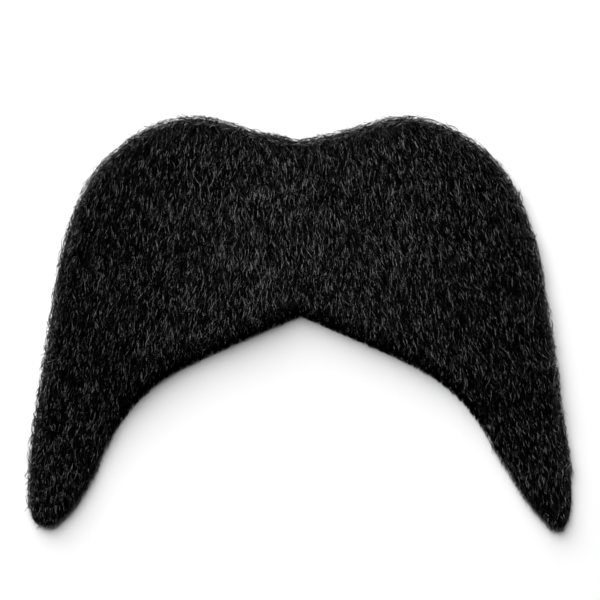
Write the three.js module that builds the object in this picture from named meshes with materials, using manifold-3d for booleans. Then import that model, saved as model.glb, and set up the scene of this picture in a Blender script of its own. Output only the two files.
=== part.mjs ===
// A self-adhesive fancy-dress moustache with two long drooping ends, cut from black fake fur.
//
// It lies on its back as it does on a table: z = 0 is the surface, +Z points out of the fur, +Y points
// up the lip to the nose, and +X to the right of someone looking at it. The origin is on the surface,
// under the middle of the whole. Units are millimetres.
//
// From the surface up it is a strip of adhesive tape, a die-cut ground cloth, and the pile that the
// cloth carries. The pile is a domed bed with combed locks fused to it, and it hangs over the cut
// edge of the cloth down to the surface.
import * as THREE from 'three';
import { mergeVertices } from 'three/addons/utils/BufferGeometryUtils.js';
import Module from 'manifold-3d';

// Driving dimensions
const SPAN = 119.6; // across the drooping ends, over the bed of the pile
const DROP = 91.4; // from the top of the humps to the end of the longer tip
const TAPE_THICKNESS = 0.4;
const CLOTH_THICKNESS = 1.2;
const PILE_HEIGHT = 5.4; // of the combed pile over the cloth
const EDGE_ROUND = 5; // how far in from the edge the pile reaches its full height
const CLOTH_INSET = 2; // how far the pile hangs out past the cut edge of the cloth
const TAPE_MARGIN = 4.5; // from the edge of the cloth to the edge of the tape
const TAPE_SPAN = 78; // across the tape
const SEAT_GAP = 0.1; // between the faces of pieces that lie on each other
const POCKET_GAP = 0.3; // between the cloth and the pile around it
const LOCK_LENGTH = 12;
const LOCK_WIDTH = 6.2;
const LOCK_THICKNESS = 1.1; // how far a lock's crest stands out of the bed
const LOCK_PITCH = 5.8; // from lock to lock across a row
const ROW_PITCH = 7.5; // from row to row down the fur
const SHORTEST_LOCK = 3.6; // where the edge leaves less room than this there is no lock
const ROOT_DEPTH = 1.4; // how far inside the edge the outermost locks are rooted
const TIP_OVERHANG = 0.5; // how far a lock's tip may hang past the edge of the bed
const SIDE_DEPTH = 1.2; // how far inside the edge the sides of a lock stay
const SPLAY = 28; // degrees from straight down that the outermost locks are combed outwards
const STRAY = 7; // degrees that a lock may lie out of the comb's direction
const SKIRT = 0.2; // how far the bed is modelled below the surface before it is cut off there

// Where things lie above the surface
const CLOTH_BOTTOM = TAPE_THICKNESS + SEAT_GAP;
const CLOTH_TOP = CLOTH_BOTTOM + CLOTH_THICKNESS;
const FUR_TOP = CLOTH_TOP + SEAT_GAP + PILE_HEIGHT;

// The bed's outline, a row for each section of one half, from the middle to the drooping end. Each
// section runs from the mouth edge to the cheek edge. Across is a share of half the span, and down is
// a share of the drop, from the top of the humps. The ends differ, because they are cut by hand.
const SHARED_SECTIONS = [
  { mouthAcross: 0.0, mouthDown: 0.48, cheekAcross: 0.0, cheekDown: 0.056 },
  { mouthAcross: 0.125, mouthDown: 0.514, cheekAcross: 0.165, cheekDown: 0.033 },
  { mouthAcross: 0.252, mouthDown: 0.55, cheekAcross: 0.36, cheekDown: 0.0 },
  { mouthAcross: 0.376, mouthDown: 0.587, cheekAcross: 0.505, cheekDown: 0.012 },
  { mouthAcross: 0.46, mouthDown: 0.615, cheekAcross: 0.667, cheekDown: 0.072 },
  { mouthAcross: 0.54, mouthDown: 0.651, cheekAcross: 0.781, cheekDown: 0.156 },
  { mouthAcross: 0.626, mouthDown: 0.707, cheekAcross: 0.867, cheekDown: 0.298 },
  { mouthAcross: 0.675, mouthDown: 0.755, cheekAcross: 0.912, cheekDown: 0.45 },
  { mouthAcross: 0.714, mouthDown: 0.803, cheekAcross: 0.948, cheekDown: 0.61 },
];
const LEFT_END = [
  { mouthAcross: 0.75, mouthDown: 0.86, cheekAcross: 0.983, cheekDown: 0.75 },
  { mouthAcross: 0.79, mouthDown: 0.907, cheekAcross: 1.0, cheekDown: 0.85 },
  { mouthAcross: 0.838, mouthDown: 0.953, cheekAcross: 0.997, cheekDown: 0.935 },
  { mouthAcross: 0.882, mouthDown: 0.985, cheekAcross: 0.965, cheekDown: 0.984 },
];
const RIGHT_END = [
  { mouthAcross: 0.776, mouthDown: 0.86, cheekAcross: 0.977, cheekDown: 0.75 },
  { mouthAcross: 0.818, mouthDown: 0.912, cheekAcross: 0.998, cheekDown: 0.87 },
  { mouthAcross: 0.872, mouthDown: 0.96, cheekAcross: 1.0, cheekDown: 0.94 },
  { mouthAcross: 0.932, mouthDown: 0.997, cheekAcross: 0.978, cheekDown: 0.996 },
];

const STATIONS = 26; // sections lofted in each half of the bed
const CLOTH_STATIONS = 18;
const DOME_STEPS = 4; // steps that round the pile at each edge
const FLAT_STEPS = 2; // steps across the flat of the pile
const CURVE_SAMPLES = 200; // places tried along an edge

const wasm = await Module();
wasm.setup();

const lerp = THREE.MathUtils.lerp;
const point = (x, y) => new THREE.Vector2(x, y);

// One edge of one half as a smooth curve through its rows. Both edges share the rows, so the same
// parameter gives the two ends of one section.
function edgeCurve(rows, side, edge) {
  const points = rows.map((row) => new THREE.Vector3(
    (side * row[edge + 'Across'] * SPAN) / 2,
    (0.5 - row[edge + 'Down']) * DROP,
    0,
  ));
  return new THREE.CatmullRomCurve3(points, false, 'centripetal');
}

const HALVES = [
  { side: -1, rows: [...SHARED_SECTIONS, ...LEFT_END] },
  { side: 1, rows: [...SHARED_SECTIONS, ...RIGHT_END] },
].map(({ side, rows }) => ({
  side,
  mouth: edgeCurve(rows, side, 'mouth'),
  cheek: edgeCurve(rows, side, 'cheek'),
}));

// A point of an edge, moved into the fur by the inset, square to the edge.
function edgePoint(half, edge, t, inset) {
  const at = half[edge].getPoint(t);
  const along = half[edge].getTangent(t);
  const inwards = edge === 'mouth' ? half.side : -half.side;
  return point(at.x - along.y * inset * inwards, at.y + along.x * inset * inwards);
}

// The parameter at which an inset outline stops short of the drooping end. The end is a narrow wedge,
// so the outline stops further back than the inset.
function endParameter(half, inset) {
  const setback = 1.8 * inset;
  const middle = (t) => half.mouth.getPoint(t).add(half.cheek.getPoint(t)).multiplyScalar(0.5);
  const tip = middle(1);
  let t = 1;
  while (t > 0 && middle(t).distanceTo(tip) < setback) t -= 1 / CURVE_SAMPLES;
  return t;
}

// The sections of the whole from the left end to the right end, as [mouth point, cheek point].
function sections(inset, stations) {
  const [left, right] = HALVES.map((half) => {
    const end = endParameter(half, inset);
    return Array.from({ length: stations + 1 }, (_, i) => {
      const t = (end * i) / stations;
      return [edgePoint(half, 'mouth', t, inset), edgePoint(half, 'cheek', t, inset)];
    });
  });
  // The halves meet in a corner, so their middle sections are made one.
  const middle = [0, 1].map((k) => point(0, (left[0][k].y + right[0][k].y) / 2));
  return [...left.slice(1).reverse(), middle, ...right.slice(1)];
}

function outlineOf(pairs) {
  return [...pairs.map(([mouth]) => mouth), ...pairs.map(([, cheek]) => cheek).reverse()];
}

const EDGE = outlineOf(sections(0, STATIONS * 2));

// How far a point lies inside the edge of the bed. It is negative outside.
function depthInside(x, y) {
  let nearest = Infinity;
  let inside = false;
  EDGE.forEach((a, i) => {
    const b = EDGE[(i + 1) % EDGE.length];
    const run = point(b.x - a.x, b.y - a.y);
    const share = ((x - a.x) * run.x + (y - a.y) * run.y) / run.lengthSq();
    const s = THREE.MathUtils.clamp(share, 0, 1);
    nearest = Math.min(nearest, Math.hypot(x - a.x - s * run.x, y - a.y - s * run.y));
    if (a.y > y !== b.y > y && x < a.x + (run.x * (y - a.y)) / run.y) inside = !inside;
  });
  return inside ? nearest : -nearest;
}

// The pile's top: a quarter of an ellipse from the surface at the edge to the full height.
function bedHeight(depth) {
  const rise = THREE.MathUtils.clamp(depth / EDGE_ROUND, 0, 1);
  return FUR_TOP * Math.sqrt(1 - (1 - rise) ** 2);
}

// A closed mesh as a solid that can be joined and cut.
function solidOf(geometry) {
  const bare = geometry.clone();
  bare.deleteAttribute('normal');
  bare.deleteAttribute('uv');
  const merged = mergeVertices(bare, 1e-4);
  return new wasm.Manifold(new wasm.Mesh({
    numProp: 3,
    vertProperties: new Float32Array(merged.attributes.position.array),
    triVerts: new Uint32Array(merged.index.array),
  }));
}

// A solid as a mesh whose corners lie on a fine grid. Faces too thin for the grid are left out, and
// so is each pair that the grid lays back to back.
function geometryOf(solid) {
  const grid = 0.002;
  const mesh = solid.getMesh();
  const snapped = mesh.vertProperties.map((value) => Math.round(value / grid) * grid);
  const loose = new THREE.BufferGeometry();
  loose.setAttribute('position', new THREE.BufferAttribute(snapped, 3));
  loose.setIndex(new THREE.BufferAttribute(mesh.triVerts, 1));
  const geometry = mergeVertices(loose, grid / 2);

  const faces = new Map();
  for (let i = 0; i < geometry.index.count; i += 3) {
    const face = [0, 1, 2].map((k) => geometry.index.getX(i + k));
    const key = [...face].sort((a, b) => a - b).join();
    if (new Set(face).size < 3) continue;
    if (faces.has(key)) faces.delete(key);
    else faces.set(key, face);
  }
  geometry.setIndex([...faces.values()].flat());
  geometry.computeVertexNormals();
  return geometry;
}

// A closed mesh through rings of equal size, with a flat polygon over each end. The rings run
// clockwise as seen looking from the first to the last.
function loft(rings) {
  const size = rings[0].length;
  const index = [];
  for (let r = 0; r + 1 < rings.length; r += 1) {
    for (let k = 0; k < size; k += 1) {
      const a = r * size + k;
      const b = r * size + ((k + 1) % size);
      index.push(a, b, b + size, a, b + size, a + size);
    }
  }
  const last = (rings.length - 1) * size;
  for (let k = 1; k + 1 < size; k += 1) {
    index.push(0, k + 1, k, last, last + k, last + k + 1);
  }
  const geometry = new THREE.BufferGeometry();
  const positions = rings.flat().flatMap((p) => [p.x, p.y, p.z]);
  geometry.setAttribute('position', new THREE.Float32BufferAttribute(positions, 3));
  geometry.setIndex(index);
  return geometry;
}

// Shares of the way across a section, closer together where the pile curves down to its edges.
// The rounding takes more room on a section that meets the edge aslant.
function acrossShares(width) {
  const slant = 1.2;
  const round = Math.min(slant * EDGE_ROUND, width / 2);
  const rise = Array.from({ length: DOME_STEPS + 1 }, (_, i) => {
    const angle = (i / DOME_STEPS) * (Math.PI / 2);
    return ((1 - Math.cos(angle)) * round) / width;
  });
  const start = rise[DOME_STEPS];
  const flat = Array.from({ length: FLAT_STEPS - 1 }, (_, i) => (
    lerp(start, 1 - start, (i + 1) / FLAT_STEPS)
  ));
  return [...rise, ...flat, ...rise.map((share) => 1 - share).reverse()];
}

// The bed of the pile: domed sections that reach a little below the surface.
function bedSolid() {
  const rings = sections(0, STATIONS).map(([mouth, cheek]) => (
    acrossShares(mouth.distanceTo(cheek)).map((share, i, all) => {
      const x = lerp(cheek.x, mouth.x, share);
      const y = lerp(cheek.y, mouth.y, share);
      const onEdge = i === 0 || i === all.length - 1;
      return new THREE.Vector3(x, y, onEdge ? -SKIRT : bedHeight(depthInside(x, y)));
    })
  ));
  return solidOf(loft(rings));
}

// A flat piece with the outline of some sections, from one height to another.
function flatPiece(pairs, bottom, top) {
  const geometry = new THREE.ExtrudeGeometry(new THREE.Shape(outlineOf(pairs)), {
    depth: top - bottom,
    bevelEnabled: false,
  });
  geometry.translate(0, 0, bottom);
  return geometry;
}

// One combed lock: it rises out of the bed, lies along it and tapers to a tip that stands a little
// proud, over the roots of the next row. Each ring is a flat diamond with only its crest in the open.
// Along and width are shares of the lock's length and width, and the heights are shares of its
// thickness, from the bed up.
const LOCK_RINGS = [
  { along: 0.0, width: 0.3, crest: -0.6, sides: -0.9, keel: -1.8 },
  { along: 0.28, width: 0.95, crest: 0.75, sides: -0.5, keel: -1.8 },
  { along: 0.66, width: 0.85, crest: 1.0, sides: -0.5, keel: -1.8 },
  { along: 1.0, width: 0.16, crest: 0.62, sides: -0.5, keel: -1.8 },
];

// A point beside the middle of a lock, drawn in until it stays clear of the edge. Where the middle
// itself runs out over the edge, its sides may go as far past it as a tip may.
function cornerPoint(centre, across, offset) {
  const limit = Math.min(SIDE_DEPTH, depthInside(centre.x, centre.y) - TIP_OVERHANG);
  const narrower = 0.85;
  let at = centre.clone().addScaledVector(across, offset);
  for (let share = narrower; depthInside(at.x, at.y) < limit; share *= narrower) {
    at = centre.clone().addScaledVector(across, offset * share);
  }
  return at;
}

function lockSolid(root, heading, length, width) {
  const down = point(Math.sin(heading), -Math.cos(heading));
  const across = point(-down.y, down.x);
  const rings = LOCK_RINGS.map((ring) => {
    const centre = root.clone().addScaledVector(down, ring.along * length);
    const bed = bedHeight(depthInside(centre.x, centre.y));
    const corner = (sideways, rise) => {
      const at = cornerPoint(centre, across, (sideways * ring.width * width) / 2);
      const lower = Math.min(bed, bedHeight(depthInside(at.x, at.y)));
      return new THREE.Vector3(at.x, at.y, lower + rise * LOCK_THICKNESS);
    };
    return [corner(1, ring.sides), corner(0, ring.crest), corner(-1, ring.sides), corner(0, ring.keel)];
  });
  return solidOf(loft(rings));
}

// How long a lock can be before its tip hangs too far past the edge.
function reach(root, heading) {
  const down = point(Math.sin(heading), -Math.cos(heading));
  for (let i = 1; i <= CURVE_SAMPLES; i += 1) {
    const tip = root.clone().addScaledVector(down, (LOCK_LENGTH * i) / CURVE_SAMPLES);
    if (depthInside(tip.x, tip.y) < -TIP_OVERHANG) return (LOCK_LENGTH * (i - 1)) / CURVE_SAMPLES;
  }
  return LOCK_LENGTH;
}

// Where the locks are rooted, each with how far it strays: along the cheek edge, and then in rows
// that lie over each other like shingles. Roots keep a share of the pitch between them.
function lockRoots() {
  const strayOf = (row, column) => Math.sin(5.1 * row + 2.7 * column);
  const roots = [];
  const addRoot = (at, stray, apart) => {
    if (roots.some((other) => other.at.distanceTo(at) < apart * LOCK_PITCH)) return;
    roots.push({ at, stray });
  };

  HALVES.forEach((half) => {
    const count = Math.ceil(half.cheek.getLength() / LOCK_PITCH);
    for (let i = 0; i < count; i += 1) {
      const t = half.cheek.getUtoTmapping(i / count);
      addRoot(edgePoint(half, 'cheek', t, ROOT_DEPTH), strayOf(0, i), 0.5);
    }
  });

  const rows = Math.ceil(DROP / ROW_PITCH);
  const columns = Math.ceil(SPAN / LOCK_PITCH / 2);
  for (let row = 0; row < rows; row += 1) {
    for (let column = -columns; column <= columns; column += 1) {
      const stray = strayOf(row, column);
      const x = (column + (row % 2) / 2 + 0.12 * stray) * LOCK_PITCH;
      const y = DROP / 2 - (row + 0.3 + 0.1 * stray) * ROW_PITCH;
      if (depthInside(x, y) > ROOT_DEPTH) addRoot(point(x, y), stray, 0.8);
    }
  }
  return roots;
}

// The locks of the whole fur, combed down and outwards.
function lockSolids() {
  return lockRoots().flatMap(({ at, stray }) => {
    const heading = THREE.MathUtils.degToRad(SPLAY * ((2 * at.x) / SPAN) + STRAY * stray);
    const length = reach(at, heading);
    const width = LOCK_WIDTH * (1 + 0.1 * stray);
    return length < SHORTEST_LOCK ? [] : [lockSolid(at, heading, length, width)];
  });
}

// The pile stands on the surface and round the cloth, so what lies below the surface is cut off it,
// and so is the cloth's shape with a gap round it.
function pileGeometry() {
  const underground = new THREE.BoxGeometry(2 * SPAN, 2 * DROP, PILE_HEIGHT);
  underground.translate(0, 0, -PILE_HEIGHT / 2);
  const pocket = flatPiece(
    sections(CLOTH_INSET - POCKET_GAP, CLOTH_STATIONS),
    -PILE_HEIGHT / 2,
    CLOTH_TOP + SEAT_GAP,
  );
  return geometryOf(
    lockSolids()
      .reduce((whole, lock) => whole.add(lock), bedSolid())
      .subtract(solidOf(underground))
      .subtract(solidOf(pocket)),
  );
}

function clothGeometry() {
  return flatPiece(sections(CLOTH_INSET, CLOTH_STATIONS), CLOTH_BOTTOM, CLOTH_TOP);
}

// The tape follows the cloth inside its edge, as far out as its own span.
function tapeGeometry() {
  const pairs = sections(CLOTH_INSET + TAPE_MARGIN, CLOTH_STATIONS * 2)
    .filter(([mouth, cheek]) => Math.abs(mouth.x + cheek.x) <= TAPE_SPAN);
  return flatPiece(pairs, 0, TAPE_THICKNESS);
}

const PILE_FIBRE = new THREE.MeshStandardMaterial({ color: '#17171a', roughness: 0.6, metalness: 0 });
const GROUND_CLOTH = new THREE.MeshStandardMaterial({ color: '#1b1b1d', roughness: 0.95, metalness: 0 });
const TAPE = new THREE.MeshStandardMaterial({ color: '#e9e4d4', roughness: 0.5, metalness: 0 });

function named(name, geometry, material) {
  const mesh = new THREE.Mesh(geometry, material);
  mesh.name = name;
  return mesh;
}

const moustache = new THREE.Group();
moustache.add(
  named('fur_pile', pileGeometry(), PILE_FIBRE),
  named('ground_cloth', clothGeometry(), GROUND_CLOTH),
  named('adhesive_strip', tapeGeometry(), TAPE),
);

// The origin goes under the middle of everything, tips of the locks included.
const middle = new THREE.Box3().setFromObject(moustache).getCenter(new THREE.Vector3());
moustache.position.set(-middle.x, -middle.y, 0);

export default moustache;
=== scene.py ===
"""A self-adhesive fancy-dress moustache cut from black fake fur, lying on its back on a white table.

Shapes are worked out in millimetres in the source's own outline, and turned to metres in the
frame when they are put into a mesh.
"""

import bpy
import numpy as np
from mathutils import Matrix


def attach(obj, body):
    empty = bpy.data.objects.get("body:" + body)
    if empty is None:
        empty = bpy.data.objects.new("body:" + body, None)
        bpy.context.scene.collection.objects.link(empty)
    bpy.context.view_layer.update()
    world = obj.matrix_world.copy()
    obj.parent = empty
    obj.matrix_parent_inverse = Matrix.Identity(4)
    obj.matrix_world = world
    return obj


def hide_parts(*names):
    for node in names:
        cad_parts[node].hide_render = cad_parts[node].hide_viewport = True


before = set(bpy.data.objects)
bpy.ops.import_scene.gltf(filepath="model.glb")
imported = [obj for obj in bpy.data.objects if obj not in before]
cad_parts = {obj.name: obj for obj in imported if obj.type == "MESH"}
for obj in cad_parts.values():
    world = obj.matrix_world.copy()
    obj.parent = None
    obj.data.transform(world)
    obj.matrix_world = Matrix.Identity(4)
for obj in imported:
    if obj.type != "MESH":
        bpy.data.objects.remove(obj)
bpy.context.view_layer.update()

MM = 0.001
rng = np.random.default_rng(11)

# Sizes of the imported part, in millimetres
SPAN = 119.6
DROP = 91.4
MIDDLE = (-0.02, 0.14)  # the frame's origin, in the outline's own place
CLOTH_BOTTOM = 0.5
CLOTH_TOP = 1.7
FUR_TOP = 7.2
EDGE_ROUND = 5.0
CLOTH_INSET = 2.0
SPLAY = 10.5  # degrees
WING = (8.0, 32.0)  # how far from the middle the splay begins and is full

# The pile, in millimetres
END_STARTS = -14.0  # the height on the outline where the drooping ends begin
END_LENGTH = 16.0  # how far down from there the fur becomes as it is at the tips
END_THINNING = 0.2  # share by which the pile is lower at the tips
END_ROUNDING = 1.5  # how much wider its rounded edge is there
LAYER_STEP = 1.6  # how much further in the lowest layer of the pile ends than the top one
HOLLOWS = (0.08, 13.0)  # share of the height, and how far from one to the next
TUFTS = (0.03, 4.2, 2.2)  # the same, and how many times as long as wide they are
WANDER = 5.0  # degrees that a tuft of fibres strays from the comb's way
LEAN = 1.5  # how far in from the edge the fibres still lean out over it
TURN = 1.3  # how strongly they turn along an edge that faces against the comb
CLIMB_SHARE = 0.8  # of its length, over which a fibre climbs to its layer
PROBE = 0.4  # how far ahead the slope under a fibre is measured
CLEAR = 0.12  # the least height of a fibre over the table

# The fibres. Real ones are about 0.05 mm thick. They are drawn at 0.1 to 0.3 mm, because single
# threads are too fine to show.
FIBRES = 86_000
RIM_FIBRES = 6_000
EDGE_FIBRES = 5_600
EDGE_ARCS = 330
THICKNESS = (0.05, 0.1)  # radius, thinnest and thickest
RIM_THICKNESS = (0.08, 0.15)
TIP_FINENESS = 0.28  # share by which the fibres are thinner at the drooping ends
LENGTH = (3.6, 0.9)  # the longest fibre by the nose, and how much shorter it is at the ends
RIM_LENGTH = 4.0
BOB = (1.4, 0.5)  # how far a fibre sways up and down at most: in the pile, and in the rim
MOUTH_RIM = (0.2, 2.6, 3.7)  # how far short of the mouth edge long fibres stop: least, usual, most
RIM_WIDTH = (0.3, 4.2)  # the depths between which the short fibres of the rim grow, drawn black as painted shade
RIM_TUFT = 1.8  # how far it is from one tuft of the rim to the next
OVERHANG = 0.3  # how far a fibre hangs out past the cheek edge, on average
EDGE_BAND = 2.5  # the fibres stand closer together within this depth
PAINTED_SHADE_SHARE = (0.12, 0.45)  # of the fibres are drawn gloss-free black, painted shade in the gaps between the glossy ones: by the nose, and at the drooping ends
TWIST = 0.9  # radians from one ring of a fibre to the next, at most
ROOT_LAYER = 0.85  # a fibre leaves the matted pile at this share of its own layer's height
NOSE = 20.0  # how far up the outline the fur has the fewest gloss-free fibres, drawn as painted shade, and its fibres are thickest
NOSE_REACH = (10.0, 50.0)  # the radius where that begins to fade, and how far it takes
AREA = ([-62, -48], [62, 48])  # takes in the whole outline
EDGE_STEP = 0.5  # between the points of the cheek edge that fibres lie along
TIP_ROWS = 14  # sections at each tip that have no such fibres

# The outline, a row for each section of one half, as shares of half the span and of the drop
# (mouth across, mouth down, cheek across, cheek down)
SHARED_SECTIONS = [
    (0.0, 0.48, 0.0, 0.056),
    (0.125, 0.514, 0.165, 0.033),
    (0.252, 0.55, 0.36, 0.0),
    (0.376, 0.587, 0.505, 0.012),
    (0.46, 0.615, 0.667, 0.072),
    (0.54, 0.651, 0.781, 0.156),
    (0.626, 0.707, 0.867, 0.298),
    (0.675, 0.755, 0.912, 0.45),
    (0.714, 0.803, 0.948, 0.61),
]
LEFT_END = [
    (0.75, 0.86, 0.983, 0.75),
    (0.79, 0.907, 1.0, 0.85),
    (0.834, 0.949, 0.999, 0.93),
    (0.876, 0.977, 0.99, 0.972),
    (0.914, 0.995, 0.957, 0.993),
]
RIGHT_END = [
    (0.768, 0.86, 0.977, 0.75),
    (0.814, 0.912, 1.006, 0.87),
    (0.862, 0.953, 1.007, 0.937),
    (0.898, 0.98, 0.995, 0.974),
    (0.928, 1.001, 0.974, 1.001),
]


def smooth_line(points, samples):
    """Centripetal Catmull-Rom curve: between two rows a cubic runs through both, and its slope at
    each comes from the neighbours, weighted by the square roots of the gaps between the rows."""
    first = 2 * points[0] - points[1]
    last = 2 * points[-1] - points[-2]
    p = np.vstack([first, points, last])
    u = np.linspace(0, len(points) - 1, samples)
    i = np.minimum(u.astype(int), len(points) - 2)
    w = (u - i)[:, None]
    p0, p1, p2, p3 = (p[i + k] for k in range(4))
    pairs = ((p0, p1), (p1, p2), (p2, p3))
    g0, g1, g2 = (np.sqrt(np.linalg.norm(b - a, axis=1))[:, None] for a, b in pairs)
    m1 = ((p1 - p0) / g0 - (p2 - p0) / (g0 + g1) + (p2 - p1) / g1) * g1
    m2 = ((p2 - p1) / g1 - (p3 - p1) / (g1 + g2) + (p3 - p2) / g2) * g1
    return (
        (2 * w**3 - 3 * w**2 + 1) * p1
        + (w**3 - 2 * w**2 + w) * m1
        + (3 * w**2 - 2 * w**3) * p2
        + (w**3 - w**2) * m2
    )


def square_to(line):
    """Unit direction to the left of the way that a line runs, at each of its points."""
    along = np.gradient(line, axis=0)
    along /= np.linalg.norm(along, axis=1)[:, None]
    return np.column_stack([-along[:, 1], along[:, 0]])


def half_edges(rows, side, samples):
    """The mouth edge and the cheek edge of one half, from the middle to the drooping end."""
    table = np.array(rows)
    return [
        smooth_line(
            np.column_stack([side * table[:, k] * SPAN / 2, (0.5 - table[:, k + 1]) * DROP]), samples
        )
        for k in (0, 2)
    ]


def sections(inset, samples=120, mouth_inset=None):
    """Mouth points and cheek points of matching sections from the left end to the right end, moved
    into the fur by the inset, square to the edge. The mouth edge may have an inset of its own. The
    ends stop short by 1.8 insets."""
    insets = (inset if mouth_inset is None else mouth_inset, inset)
    halves = []
    for side, end in ((-1, LEFT_END), (1, RIGHT_END)):
        mouth, cheek = half_edges(SHARED_SECTIONS + end, side, samples)
        centre = (mouth + cheek) / 2
        kept = np.linalg.norm(centre - centre[-1], axis=1) >= 1.8 * inset
        edges = zip((mouth, cheek), (side, -side), insets)
        halves.append([(line + own * inwards * square_to(line))[kept] for line, inwards, own in edges])
    (left_mouth, left_cheek), (right_mouth, right_cheek) = halves
    joined = []
    for left, right in ((left_mouth, right_mouth), (left_cheek, right_cheek)):
        corner = np.array([[0, (left[0, 1] + right[0, 1]) / 2]])
        joined.append(np.vstack([left[:0:-1], corner, right[1:]]))
    return joined


# How far each place of a fine grid lies inside the outline, and which way is inwards there
GRID = 0.5
GRID_X = np.arange(-66, 66 + GRID, GRID)
GRID_Y = np.arange(-52, 52 + GRID, GRID)


def depth_of_grid():
    """Distance to the nearest stretch of the outline, negative outside, and 1 where that stretch
    is the mouth edge, else 0. A place is inside when a level line from it to the right crosses the
    outline an odd number of times."""
    mouth, cheek = sections(0, samples=70)
    a = np.vstack([mouth, cheek[::-1]])
    b = np.roll(a, -1, axis=0)
    run = b - a
    depth, by_mouth = np.empty((2, len(GRID_Y), len(GRID_X)))
    for row, y in enumerate(GRID_Y):
        px = GRID_X[:, None] - a[:, 0]
        py = y - a[:, 1]
        share = np.clip((px * run[:, 0] + py * run[:, 1]) / (run**2).sum(axis=1), 0, 1)
        gap = np.hypot(px - share * run[:, 0], py - share * run[:, 1])
        nearest = gap.min(axis=1)
        spans = (a[:, 1] > y) != (b[:, 1] > y)
        crossing = a[spans, 0] + run[spans, 0] * (y - a[spans, 1]) / run[spans, 1]
        inside = (GRID_X[:, None] < crossing).sum(axis=1) % 2 == 1
        depth[row] = np.where(inside, nearest, -nearest)
        by_mouth[row] = gap.argmin(axis=1) < len(mouth)
    return depth, by_mouth


DEPTH, BY_MOUTH = depth_of_grid()
INWARDS_Y, INWARDS_X = np.gradient(DEPTH, GRID)


def look_up(field, x, y):
    """The grid's value at places between its points, weighted by how near the four round it are.
    A place past the grid takes the value at its border."""
    border = 1.001
    u = np.clip((x - GRID_X[0]) / GRID, 0, len(GRID_X) - border)
    v = np.clip((y - GRID_Y[0]) / GRID, 0, len(GRID_Y) - border)
    i, j = u.astype(int), v.astype(int)
    u, v = u - i, v - j
    low = field[j, i] * (1 - u) + field[j, i + 1] * u
    high = field[j + 1, i] * (1 - u) + field[j + 1, i + 1] * u
    return low * (1 - v) + high * v


def ripple(x, y, length, seed, stretch=1.0):
    """Uneven rolling from about -1 to 1: the sum of eight plane waves of roughly one length, in
    scattered directions. Stretch makes the hollows longer down the fur than across."""
    waves = 8
    draw = np.random.default_rng(seed)
    angles = draw.uniform(0, np.pi, waves)
    sizes = draw.uniform(0.7, 1.4, waves)
    phases = draw.uniform(0, 2 * np.pi, waves)
    total = np.zeros_like(x)
    for angle, size, phase in zip(angles, sizes, phases):
        k = 2 * np.pi / (length * size)
        total += np.sin(k * (x * np.cos(angle) + y / stretch * np.sin(angle)) + phase)
    return total / (0.4 * waves)


def smooth_step(share):
    """From 0 to 1 along 3t² - 2t³, level at both ends."""
    t = np.clip(share, 0, 1)
    return t * t * (3 - 2 * t)


def on_ends(y):
    """0 along the arch, and 1 on the drooping ends."""
    return smooth_step((END_STARTS - y) / END_LENGTH)


def on_rim(x, y):
    """1 nearest to the arch of the mouth edge, where the rim is drawn in gloss-free black fibres as
    painted shade, and 0 elsewhere.
    """
    return look_up(BY_MOUTH, x, y) * (1 - on_ends(y))


def dome(depth, y):
    """Height of the pile's even face at a depth inside its edge, and how much of its rounded edge
    is climbed there: a quarter of an ellipse. It is lower and rounder towards the tips."""
    ends = on_ends(y)
    climbed = np.clip(depth / (EDGE_ROUND + END_ROUNDING * ends), 0, 1)
    return FUR_TOP * (1 - END_THINNING * ends) * np.sqrt(1 - (1 - climbed) ** 2), climbed


def pile_height(x, y, layer):
    """Height of the pile's face at a share of its thickness: the dome in slow hollows and narrow
    tufts, which fade out on the rounded edge."""
    height, climbed = dome(look_up(DEPTH, x, y) - (1 - layer) * LAYER_STEP, y)
    uneven = HOLLOWS[0] * ripple(x, y, HOLLOWS[1], 1)
    uneven = uneven + TUFTS[0] * ripple(x, y, TUFTS[1], 2, stretch=TUFTS[2])
    return height * layer * (1 + uneven * climbed)


def comb(x, y, stray, flare):
    """Unit direction that the fibres take at a place: down in the middle and splayed outwards on
    the wings. Close to the edge it leans out over it, and where the edge faces against the comb it
    turns along it."""
    wing = smooth_step((np.abs(x) - WING[0]) / (WING[1] - WING[0]))
    wander = WANDER * (ripple(x, y, 16, 3) + ripple(x, y, 4, 4))
    angle = np.radians(SPLAY * np.sign(x) * wing + stray + wander)
    ux, uy = np.sin(angle), -np.cos(angle)
    out_x, out_y = -look_up(INWARDS_X, x, y), -look_up(INWARDS_Y, x, y)
    near = np.exp(-np.clip(look_up(DEPTH, x, y), 0, None) / LEAN)
    against = np.clip(-(ux * out_x + uy * out_y), 0, 1)
    turn = np.tanh(4 * (ux * -out_y + uy * out_x))
    vx = ux + near * (flare * out_x - TURN * against * turn * out_y)
    vy = uy + near * (flare * out_y + TURN * against * turn * out_x)
    size = np.hypot(vx, vy) + 1e-6
    return vx / size, vy / size


def lay_fibres(x, y, length, layer, stray, flare, droop, steps):
    """Paths of fibres that climb from low in the pile to their layer and sink a little again
    towards the tip, a row for each fibre. Each step goes the comb's way and is shortened by the
    slope it lies on."""
    step = length / steps
    path = np.empty((len(x), steps + 1, 3))
    for k in range(steps + 1):
        climb = smooth_step(k / steps / CLIMB_SHARE) - droop * (k / steps) ** 2
        height = pile_height(x, y, layer)
        path[:, k] = np.column_stack([x, y, height * (ROOT_LAYER + (1 - ROOT_LAYER) * climb)])
        ux, uy = comb(x, y, stray, flare)
        slope = (pile_height(x + PROBE * ux, y + PROBE * uy, layer) - height) / PROBE
        run = step / np.sqrt(1 + slope**2)
        x, y = x + ux * run, y + uy * run
    return path


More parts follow.
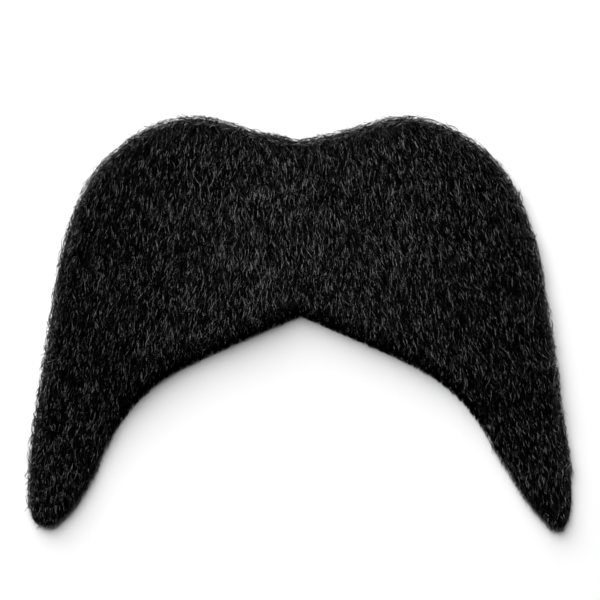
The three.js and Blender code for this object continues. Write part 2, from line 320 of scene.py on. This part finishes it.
def crimp(path, length, across, lift):
    """Sways each path sideways and up by sines along it, a turn every 4 to 8 mm, growing from
    nothing at the root."""
    count, points, _ = path.shape
    share = np.linspace(0, 1, points)
    along = np.gradient(path[:, :, :2], axis=1)
    along /= np.linalg.norm(along, axis=2)[:, :, None] + 1e-9
    turns = length[:, None] / rng.uniform(4, 8, (count, 1)) * share
    sway = across[:, None] * np.sin(2 * np.pi * (turns + rng.random((count, 1)))) * np.sqrt(share)
    bob = lift[:, None] * np.sin(2 * np.pi * (1.3 * turns + rng.random((count, 1)))) * share
    bent = path.copy()
    bent[:, :, 0] -= sway * along[:, :, 1]
    bent[:, :, 1] += sway * along[:, :, 0]
    bent[:, :, 2] = np.maximum(bent[:, :, 2] + bob, CLEAR)
    return bent


def trim(path, hang):
    """Cuts the fur to its outline: what hangs out further than its share is moved back in, square
    to the edge."""
    out = np.clip(-hang[:, None] - look_up(DEPTH, path[:, :, 0], path[:, :, 1]), 0, None)
    path[:, :, 0] += out * look_up(INWARDS_X, path[:, :, 0], path[:, :, 1])
    path[:, :, 1] += out * look_up(INWARDS_Y, path[:, :, 0], path[:, :, 1])
    return path


def piece(name, corners, triangles, material, slot, node, smooth=True):
    """One finished piece: millimetres in the outline's place become metres in the frame."""
    mesh = bpy.data.meshes.new(name)
    placed = (corners - np.array([*MIDDLE, 0])) * MM
    mesh.vertices.add(len(placed))
    mesh.vertices.foreach_set("co", placed.astype(np.float32).ravel())
    mesh.loops.add(triangles.size)
    mesh.loops.foreach_set("vertex_index", triangles.astype(np.int32).ravel())
    mesh.polygons.add(len(triangles))
    mesh.polygons.foreach_set("loop_start", np.arange(0, triangles.size, 3, dtype=np.int32))
    mesh.polygons.foreach_set("use_smooth", np.full(len(triangles), smooth))
    mesh.update(calc_edges=True)
    mesh.materials.append(material)
    made = bpy.data.objects.new(name, mesh)
    bpy.context.collection.objects.link(made)
    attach(made, "root")
    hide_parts(node)
    return made


def strands(name, path, radius, shade, material):
    """Many fibres as one mesh. Each is a three-sided tube along its path that swells to its radius,
    twists as it goes and ends in a point, with a flat end at the root. Its flat faces catch the
    light in short dashes, as crimped fibres do."""
    count, points, _ = path.shape
    rings = points - 1
    along = np.gradient(path, axis=1)
    along /= np.linalg.norm(along, axis=2)[:, :, None] + 1e-9
    side = np.cross(along, [0, 0, 1])
    side /= np.linalg.norm(side, axis=2)[:, :, None] + 1e-9
    up = np.cross(side, along)
    swell = np.sin(np.linspace(0.273, 0.78, rings) * np.pi)
    roll = rng.uniform(0, 2 * np.pi, (count, 1, 1, 1))
    twist = rng.uniform(-TWIST, TWIST, (count, 1, 1, 1)) * np.arange(rings)[:, None, None]
    angle = roll + twist + 2 * np.pi / 3 * np.arange(3)[:, None]
    ring = np.cos(angle) * side[:, :-1, None] + np.sin(angle) * up[:, :-1, None]
    ring = path[:, :-1, None] + ring * (radius[:, None] * swell)[:, :, None, None]
    corners = np.concatenate([ring.reshape(count, rings * 3, 3), path[:, -1:]], axis=1)

    k, j = np.arange(rings - 1)[:, None], np.arange(3)
    a, b = 3 * k + j, 3 * k + (j + 1) % 3
    tube = np.stack([np.stack([a, b, b + 3], -1), np.stack([a, b + 3, a + 3], -1)]).reshape(-1, 3)
    last = 3 * (rings - 1)
    tip = np.column_stack([last + np.arange(3), last + (np.arange(3) + 1) % 3, np.full(3, last + 3)])
    one = np.vstack([[[0, 2, 1]], tube, tip])
    triangles = (one + corners.shape[1] * np.arange(count)[:, None, None]).reshape(-1, 3)

    tones = np.repeat(shade, corners.shape[1]).astype(np.float32)
    corners = corners.reshape(-1, 3)
    made = piece(name, corners, triangles, material, "pile_fibre", "fur_pile", smooth=False)
    made.data.attributes.new("shade", "FLOAT", "POINT").data.foreach_set("value", tones)


# Materials

def colour(code):
    """An sRGB hex colour as linear red, green, blue and full cover."""
    value = np.array([int(code[i : i + 2], 16) for i in (1, 3, 5)]) / 255
    linear = np.where(value <= 0.04045, value / 12.92, ((value + 0.055) / 1.055) ** 2.4)
    return (*linear, 1.0)


def add(tree, kind, inputs=None, stops=(), **settings):
    """Adds a node with its settings. Each input is a value for that socket, or the socket of
    another node that feeds it. A colour ramp also gets its stops, as (place, colour) pairs."""
    made = tree.nodes.new(kind)
    for key, value in settings.items():
        setattr(made, key, value)
    for key, value in (inputs or {}).items():
        if isinstance(value, bpy.types.NodeSocket):
            tree.links.new(value, made.inputs[key])
        else:
            made.inputs[key].default_value = value
    if stops:
        elements = made.color_ramp.elements
        for place, _ in stops[2:]:
            elements.new(place)
        for element, (place, code) in zip(elements, stops):
            element.position = place
            element.color = colour(code)
    return made


def new_material(name):
    """An empty material and its node tree."""
    made = bpy.data.materials.new(name)
    made.use_nodes = True
    made.node_tree.nodes.clear()
    return made, made.node_tree


def modacrylic_fibre():
    """Drawn modacrylic, dyed black in the melt: smooth round filaments with a glossy skin, so each
    one carries a thin grey light along it and is otherwise black. Dye lots differ a little."""
    made, tree = new_material("black_modacrylic_pile")
    shade = add(tree, "ShaderNodeAttribute", attribute_name="shade").outputs["Fac"]
    lots = [(0.0, "#000000"), (0.4, "#020306"), (0.7, "#030303"), (1.0, "#0d0a07")]
    base = add(tree, "ShaderNodeValToRGB", {"Fac": shade}, stops=lots).outputs["Color"]
    shader = add(
        tree,
        "ShaderNodeBsdfPrincipled",
        {"Base Color": base, "Roughness": 0.23, "IOR": 1.5, "Specular IOR Level": 0.5},
    )
    add(tree, "ShaderNodeOutputMaterial", {"Surface": shader.outputs[0]})
    return made


def underfur_and_painted_shade():
    """Modacrylic fibres drawn black with no gloss at all, so they give nearly no light: painted shade.
    It is used for the matted bed at the roots, for the short fibres of the mouth rim, which turns away
    from the light, and for a share of fibres that make dark gaps between the glossy ones."""
    made, tree = new_material("black_underfur_and_painted_shade")
    place = add(tree, "ShaderNodeTexCoord").outputs["Object"]
    knots = add(tree, "ShaderNodeTexNoise", {"Vector": place, "Scale": 1 / (0.6 * MM), "Detail": 3.0})
    knots = knots.outputs["Fac"]
    blacks = [(0.3, "#000000"), (0.7, "#030303")]
    base = add(tree, "ShaderNodeValToRGB", {"Fac": knots}, stops=blacks).outputs["Color"]
    bump = add(tree, "ShaderNodeBump", {"Height": knots, "Distance": 0.3 * MM, "Strength": 0.8})
    shader = add(
        tree,
        "ShaderNodeBsdfPrincipled",
        {
            "Base Color": base,
            "Roughness": 0.95,
            "IOR": 1.4,
            "Specular IOR Level": 0.0,
            "Normal": bump.outputs[0],
        },
    )
    add(tree, "ShaderNodeOutputMaterial", {"Surface": shader.outputs[0]})
    return made


METRE_WAVES = np.pi / 10  # the wave pattern's scale that gives waves a metre long


def knitted_polyester():
    """Warp-knitted polyester ground, coated on the back to lock the pile: matt black with fine
    ribs 0.9 mm apart, each a row of small loops."""
    made, tree = new_material("knitted_polyester_ground")
    place = add(tree, "ShaderNodeTexCoord").outputs["Object"]
    ribs = add(
        tree,
        "ShaderNodeTexWave",
        {"Vector": place, "Scale": METRE_WAVES / (0.9 * MM), "Distortion": 0.6},
        bands_direction="X",
    )
    loops = add(
        tree,
        "ShaderNodeTexWave",
        {"Vector": place, "Scale": METRE_WAVES / (0.6 * MM), "Distortion": 0.8},
        bands_direction="Y",
    )
    both = {0: ribs.outputs["Fac"], 1: loops.outputs["Fac"]}
    height = add(tree, "ShaderNodeMath", both, operation="MULTIPLY").outputs[0]
    # Darker in the hollows between the loops and lighter on their tops: painted shade.
    painted_loop_shade = [(0.0, "#0b0b0c"), (1.0, "#202023")]
    base = add(tree, "ShaderNodeValToRGB", {"Fac": height}, stops=painted_loop_shade).outputs["Color"]
    bump = add(tree, "ShaderNodeBump", {"Height": height, "Distance": 0.12 * MM, "Strength": 1.0})
    shader = add(
        tree,
        "ShaderNodeBsdfPrincipled",
        {
            "Base Color": base,
            "Roughness": 0.9,
            "IOR": 1.5,
            "Sheen Weight": 0.2,
            "Normal": bump.outputs[0],
        },
    )
    add(tree, "ShaderNodeOutputMaterial", {"Surface": shader.outputs[0]})
    return made


def siliconised_paper():
    """Release paper over the adhesive: off-white calendered paper with a thin silicone coat, so it
    is even, satin and faintly cockled."""
    made, tree = new_material("siliconised_release_paper")
    place = add(tree, "ShaderNodeTexCoord").outputs["Object"]
    fibre = add(tree, "ShaderNodeTexNoise", {"Vector": place, "Scale": 1 / (1.5 * MM), "Detail": 4.0})
    creams = [(0.3, "#e2dccb"), (0.7, "#efeadc")]
    base = add(tree, "ShaderNodeValToRGB", {"Fac": fibre.outputs["Fac"]}, stops=creams).outputs["Color"]
    cockle = add(tree, "ShaderNodeTexNoise", {"Vector": place, "Scale": 1 / (14 * MM), "Detail": 1.0})
    cockle = cockle.outputs["Fac"]
    bump = add(tree, "ShaderNodeBump", {"Height": cockle, "Distance": 0.3 * MM, "Strength": 0.5})
    shader = add(
        tree,
        "ShaderNodeBsdfPrincipled",
        {"Base Color": base, "Roughness": 0.38, "IOR": 1.45, "Normal": bump.outputs[0]},
    )
    add(tree, "ShaderNodeOutputMaterial", {"Surface": shader.outputs[0]})
    return made


def white_card():
    """Uncoated white card: its open fibres make it evenly white, with no gloss."""
    made, tree = new_material("matt_white_card")
    shader = add(tree, "ShaderNodeBsdfPrincipled", {"Base Color": colour("#f4f4f4"), "Roughness": 0.9})
    add(tree, "ShaderNodeOutputMaterial", {"Surface": shader.outputs[0]})
    return made


# The fur

def section_rings(cheek_inset, mouth_inset, top_distances, top, bottom_points):
    """Closed rings for a body with the outline of every other section, inset from the cheek edge
    and from the mouth edge. Each ring goes over the top from the cheek edge to the mouth edge, at
    these distances in from both, and back along the underside through (distance in, height)."""
    mouth, cheek = (line[::2] for line in sections(cheek_inset, mouth_inset=mouth_inset))
    width = np.linalg.norm(mouth - cheek, axis=1)[:, None]
    near = np.minimum(np.array(top_distances) / width, 0.5)
    over = np.hstack([near, 1 - near[:, ::-1]])
    low_in = np.array([d for d, _ in bottom_points])
    low_z = np.array([z for _, z in bottom_points])
    under = np.minimum(low_in / width, 0.42)
    under = np.hstack([1 - under, under[:, ::-1]])
    under_z = np.broadcast_to(np.hstack([low_z, low_z[::-1]]), under.shape)
    over_xy = cheek[:, None] + (mouth - cheek)[:, None] * over[:, :, None]
    under_xy = cheek[:, None] + (mouth - cheek)[:, None] * under[:, :, None]
    over_z = top(over_xy[:, :, 0], over_xy[:, :, 1])
    return np.concatenate([
        np.dstack([over_xy, over_z]),
        np.dstack([under_xy, under_z]),
    ], axis=1)


def loft(rings):
    """Corners and triangles of a closed body through equal rings, with a fan over each end."""
    count, size, _ = rings.shape
    k, j = np.arange(count - 1)[:, None], np.arange(size)
    a, b = k * size + j, k * size + (j + 1) % size
    skin = np.stack([np.stack([a, b, b + size], -1), np.stack([a, b + size, a + size], -1)])
    skin = skin.reshape(-1, 3)
    ends = rings[[0, -1]].mean(axis=1)
    first, last = count * size, count * size + 1
    row = np.arange(size)
    after = (row + 1) % size
    start = np.column_stack([after, row, np.full(size, first)])
    final = (count - 1) * size
    stop = np.column_stack([final + row, final + after, np.full(size, last)])
    return np.vstack([rings.reshape(-1, 3), ends]), np.vstack([skin, start, stop])


PILE = modacrylic_fibre()
UNDERFUR_AND_SHADE = underfur_and_painted_shade()


def matted_height(x, y):
    """Height of the matted bed that the fibres stand out of: most of the pile's."""
    return np.maximum(0.72 * pile_height(x, y, 0.93) - 0.4, 0.5)


# The matted bed under the fibres is drawn gloss-free black: painted shade deep in the pile.
underfur = section_rings(
    cheek_inset=0.3,
    mouth_inset=0.7,
    top_distances=[0, 0.25, 0.6, 1.1, 1.8, 2.8, 4.2, 6.0],
    top=matted_height,
    bottom_points=[(0.1, 0.35), (0.75, 0.35), (0.85, CLOTH_TOP + 0.12)],
)
piece("underfur", *loft(underfur), UNDERFUR_AND_SHADE, "pile_fibre", "fur_pile")


def scatter(count):
    """Places spread evenly over the fur and more than half as thick again by its edge. Each has
    the layer that its fibre lies in, mostly a high one, and how far the fibre may hang out: a
    little past the cheek edge, while it stops short of the mouth edge. A place is kept where it is
    inside the edge of its layer and its fibre has room."""
    tries = rng.uniform(*AREA, (count * 6, 2))
    layer = 0.62 + 0.38 * rng.random(len(tries)) ** 0.6
    hang = rng.exponential(OVERHANG, len(tries))
    rim = on_rim(*tries.T)
    hang = hang * (1 - rim) - rng.triangular(*MOUTH_RIM, len(tries)) * rim
    depth = look_up(DEPTH, *tries.T)
    wanted = rng.random(len(tries)) < np.where(depth < EDGE_BAND, 1, 0.62)
    inside = depth > np.maximum((1 - layer) * LAYER_STEP + 0.05, 0.4 * (1 - rim) - hang * rim)
    kept = np.flatnonzero(wanted & inside)[:count]
    kept = kept[np.argsort(tries[kept, 0])]
    return *tries[kept].T, layer[kept], hang[kept]


def scatter_rim(count):
    """Places within the rim by the mouth edge, for short fibres that are drawn black as painted shade.
    Those in the same tuft hang out past the edge by much the same length."""
    tries = rng.uniform(*AREA, (count * 60, 2))
    depth = look_up(DEPTH, *tries.T)
    wanted = rng.random(len(tries)) < on_rim(*tries.T)
    kept = np.flatnonzero(wanted & (depth > RIM_WIDTH[0]) & (depth < RIM_WIDTH[1]))[:count]
    x, y = tries[kept].T
    tuft = np.clip(0.2 + 0.32 * ripple(x, y, RIM_TUFT, 6), 0.02, 0.55)
    layer = rng.uniform(0.45, 0.9, len(kept))
    return x, y, layer, tuft * np.sqrt(rng.random(len(kept)))


def reach(x, y, length, layer, stray, flare, droop, hang):
    """How long each fibre can be before it hangs out past the edge by more than its share: the
    part of its path up to the first of 16 steps that does, and never under 0.15 of it."""
    steps = 16
    path = lay_fibres(x, y, length, layer, stray, flare, droop, steps)
    depth = look_up(DEPTH, path[:, :, 0], path[:, :, 1])
    over = depth < -hang[:, None]
    first = np.where(over.any(axis=1), over.argmax(axis=1), steps)
    return length * np.clip(first / steps, 0.15, 1)


def grow(x, y, layer, hang, longest, bob):
    """Paths of three points for fibres of the pile at these places, cut to the outline: every
    fourth of the nine points that they are laid through. Each strays from the comb by some 15
    degrees and leans out, droops and sways by its own share."""
    count = len(x)
    stray = rng.normal(0, 15, count)
    flare = rng.uniform(0.1, 0.8, count)
    droop = rng.uniform(0, 0.4, count)
    length = rng.uniform(0.55, 1, count) * longest
    length = reach(x, y, length, layer, stray, flare, droop, hang)
    path = lay_fibres(x, y, length, layer, stray, flare, droop, 8)[:, ::4]
    path = crimp(path, length, rng.uniform(0.1, 0.4, count), rng.uniform(0.1, 1, count) * bob)
    return trim(path, hang)


x, y, layer, hang = scatter(FIBRES)
to_ends = smooth_step((np.hypot(x, y - NOSE) - NOSE_REACH[0]) / NOSE_REACH[1])
path = grow(x, y, layer, hang, LENGTH[0] - LENGTH[1] * to_ends, BOB[0])
radius = rng.uniform(*THICKNESS, len(x)) * (1 - TIP_FINENESS * to_ends)
shade = rng.random(len(x))
# A share of the fibres is drawn gloss-free black: painted shade in the gaps between the glossy ones,
# more of it towards the drooping ends.
matt = rng.random(len(x)) < PAINTED_SHADE_SHARE[0] + (PAINTED_SHADE_SHARE[1] - PAINTED_SHADE_SHARE[0]) * to_ends
glossy_names = ["fur_left_end", "fur_left_wing", "fur_middle", "fur_right_wing", "fur_right_end"]
painted_shade_names = ["fur_matt_left", "fur_painted_shade_right"]
for names, chosen, material in ((glossy_names, ~matt, PILE), (painted_shade_names, matt, UNDERFUR_AND_SHADE)):
    for name, mine in zip(names, np.array_split(np.flatnonzero(chosen), len(names))):
        strands(name, path[mine], radius[mine], shade[mine], material)

# The mouth rim's short fibres are gloss-free black: painted shade, where the fur's edge turns away from
# the light.
path = grow(*scatter_rim(RIM_FIBRES), RIM_LENGTH, BOB[1])
radius = rng.uniform(*RIM_THICKNESS, len(path))
strands("fur_mouth_rim_painted_shade", path, radius, rng.random(len(path)), UNDERFUR_AND_SHADE)


def edge_line():
    """The cheek edge's points, evenly apart, with the way that points out of the fur at each. It
    stops short of the ends' tips."""
    line = sections(0)[1][TIP_ROWS:-TIP_ROWS]
    run = np.append(0, np.cumsum(np.linalg.norm(np.diff(line, axis=0), axis=1)))
    even = np.arange(0, run[-1], EDGE_STEP)
    line = np.column_stack([np.interp(even, run, line[:, k]) for k in (0, 1)])
    return line, square_to(line)


def edge_fibres(count, bow, low, high, longest, points):
    """Fibres that lie along the cheek edge. Each takes a stretch of the edge, moved out by between
    low and high, skewed, waved and bowed out further in the middle by half a sine, and lies at
    about the height that the pile has where it is furthest in."""
    line, out = edge_line()
    t = np.linspace(0, 1, points)
    start = rng.uniform(0, len(line) - 20, (count, 1))
    where = start + rng.uniform(0.3, 1, (count, 1)) * longest / EDGE_STEP * t
    index = np.minimum(where.astype(int), len(line) - 2)
    part = (where - index)[:, :, None]
    base = line[index] * (1 - part) + line[index + 1] * part
    away = rng.uniform(low, high, (count, 1)) + bow * rng.random((count, 1)) ** 2 * np.sin(np.pi * t)
    away = away + rng.normal(0, 0.7, (count, 1)) * (t - 0.5)
    away = away + rng.uniform(0, 0.15, (count, 1)) * np.sin(9 * t + rng.uniform(0, 6, (count, 1)))
    flat = base + away[:, :, None] * out[index]
    furthest_in = np.maximum(0.25 - away.min(axis=1), 0.1)
    height = dome(furthest_in, flat[:, 0, 1])[0] * rng.uniform(0.5, 0.95, count)
    return np.dstack([flat, height[:, None] + rng.uniform(-0.6, 0.6, (count, 1)) * (t - 0.5)])


edge_lay = edge_fibres(EDGE_FIBRES, bow=0.3, low=-1.7, high=0.15, longest=2.6, points=3)
edge_arcs = edge_fibres(EDGE_ARCS, bow=0.8, low=-0.4, high=0.1, longest=4, points=4)
for name, path in (("edge_lay", edge_lay), ("edge_arcs", edge_arcs)):
    strands(name, path, rng.uniform(*THICKNESS, len(path)), rng.random(len(path)), PILE)

ground = section_rings(
    cheek_inset=CLOTH_INSET,
    mouth_inset=CLOTH_INSET,
    top_distances=[0, 0.15, 0.5, 3.0],
    top=lambda x, y: np.full_like(x, CLOTH_TOP),
    bottom_points=[(0, CLOTH_BOTTOM), (0.5, CLOTH_BOTTOM)],
)
cloth = piece("ground_cloth_knit", *loft(ground), knitted_polyester(), "ground_cloth", "ground_cloth")

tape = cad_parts["adhesive_strip"]
tape.data.materials.clear()
tape.data.materials.append(siliconised_paper())

# The table, the light and the camera. The room is white where it is seen and dim where it lights.
TABLE_WIDTH = 1.6
ROOM_LIGHT = 0.05
bpy.ops.mesh.primitive_plane_add(size=TABLE_WIDTH)
table = bpy.context.object
table.name = "table"
table.data.materials.append(white_card())


def softbox(name, place, size, power):
    """A square soft light that faces the middle of the table."""
    light = bpy.data.lights.new(name, "AREA")
    light.size = size
    light.energy = power
    made = bpy.data.objects.new(name, light)
    made.location = place
    direction = -made.location
    made.rotation_euler = direction.to_track_quat("-Z", "Y").to_euler()
    bpy.context.collection.objects.link(made)


softbox("key_softbox", place=(-0.44, 1.06, 1.1), size=1.7, power=57)

world = bpy.data.worlds.new("studio")
world.use_nodes = True
sky = world.node_tree
seen = add(sky, "ShaderNodeLightPath").outputs["Is Camera Ray"]
brightness = {0: seen, 1: 1 - ROOM_LIGHT, 2: ROOM_LIGHT}
strength = add(sky, "ShaderNodeMath", brightness, operation="MULTIPLY_ADD").outputs[0]
background = sky.nodes["Background"].inputs
background["Color"].default_value = (1, 1, 1, 1)
sky.links.new(strength, background["Strength"])
bpy.context.scene.world = world

FIELD = 132.12 * MM  # what the picture's width takes in
STAND_OFF = 900 * MM
AIM = (0.1 * MM, 5.3 * MM, 4 * MM)  # the place in the fur that the camera is square above
camera = bpy.data.cameras.new("camera")
camera.sensor_width = 36
camera.lens = camera.sensor_width * STAND_OFF / FIELD
camera.clip_start = 0.01
camera.clip_end = 10
eye = bpy.data.objects.new("camera", camera)
eye.location = (AIM[0], AIM[1], AIM[2] + STAND_OFF)
bpy.context.collection.objects.link(eye)
bpy.context.scene.camera = eye
bpy.context.scene.view_settings.view_transform = "Standard"
